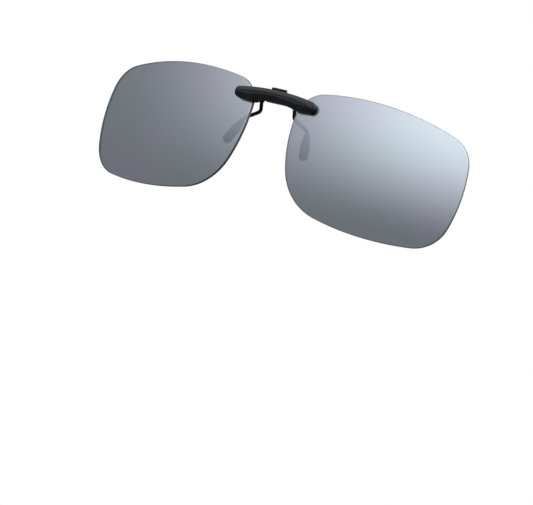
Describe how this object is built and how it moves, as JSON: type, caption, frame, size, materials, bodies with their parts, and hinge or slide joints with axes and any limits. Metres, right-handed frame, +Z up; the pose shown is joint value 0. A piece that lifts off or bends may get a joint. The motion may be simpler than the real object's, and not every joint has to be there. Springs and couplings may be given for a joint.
{
  "type": "clip on sunglasses",
  "caption": "Clip-on sunglasses: rimless mirrored lenses on a bevelled bridge, with a sprung thumb lever whose wire arms press rubber pads against spectacle lenses.",
  "frame": {"origin": "on the middle plane, level with the tips of the pads, where they press on the front of a spectacle lens", "axes": "+X to the right of someone who faces the front, +Y back towards the wearer, +Z up as worn"},
  "size_m": [0.1362, 0.0141, 0.0422],
  "materials": {
    "lens": "silver-grey flash mirror coating on the front of a smoke-tinted polarised plastic lens",
    "bridge_black": "satin black lacquer on die-cast alloy",
    "gasket": "matt black",
    "rivet": "black, low-domed head",
    "pin_steel": "ground",
    "washer": "natural acetal",
    "spring_steel": "drawn stainless spring wire",
    "lever_black": "satin black lacquer",
    "arm_black": "satin black coated wire",
    "pad_rubber": "matt black moulded silicone"
  },
  "bodies": {
    "frame": {"lens_right": "lens", "lens_left": "lens", "bridge_cover": "bridge_black", "rear_housing": "bridge_black", "lens_gasket_right": "gasket", "lens_gasket_left": "gasket", "lens_bushings_right": "gasket", "lens_bushings_left": "gasket", "lens_rivets_right": "rivet", "lens_rivets_left": "rivet", "hinge_pin": "pin_steel", "thrust_washers": "washer", "torsion_spring": "spring_steel"},
    "clip": {"thumb_lever": "lever_black", "wire_socket_right": "arm_black", "wire_socket_left": "arm_black", "wire_arm_right": "arm_black", "wire_arm_left": "arm_black", "pad_right": "pad_rubber", "pad_left": "pad_rubber"}
  },
  "joints": [
    {"name": "clip_hinge", "type": "hinge", "parent": "frame", "child": "clip", "pos_m": [0, 0.00008, 0.01592], "axis": [1, 0, 0], "range_deg": [0, 18], "stiffness_Nm_per_rad": 0.012, "springref_deg": -28.65, "deforming": ["torsion_spring"]}
  ]
}
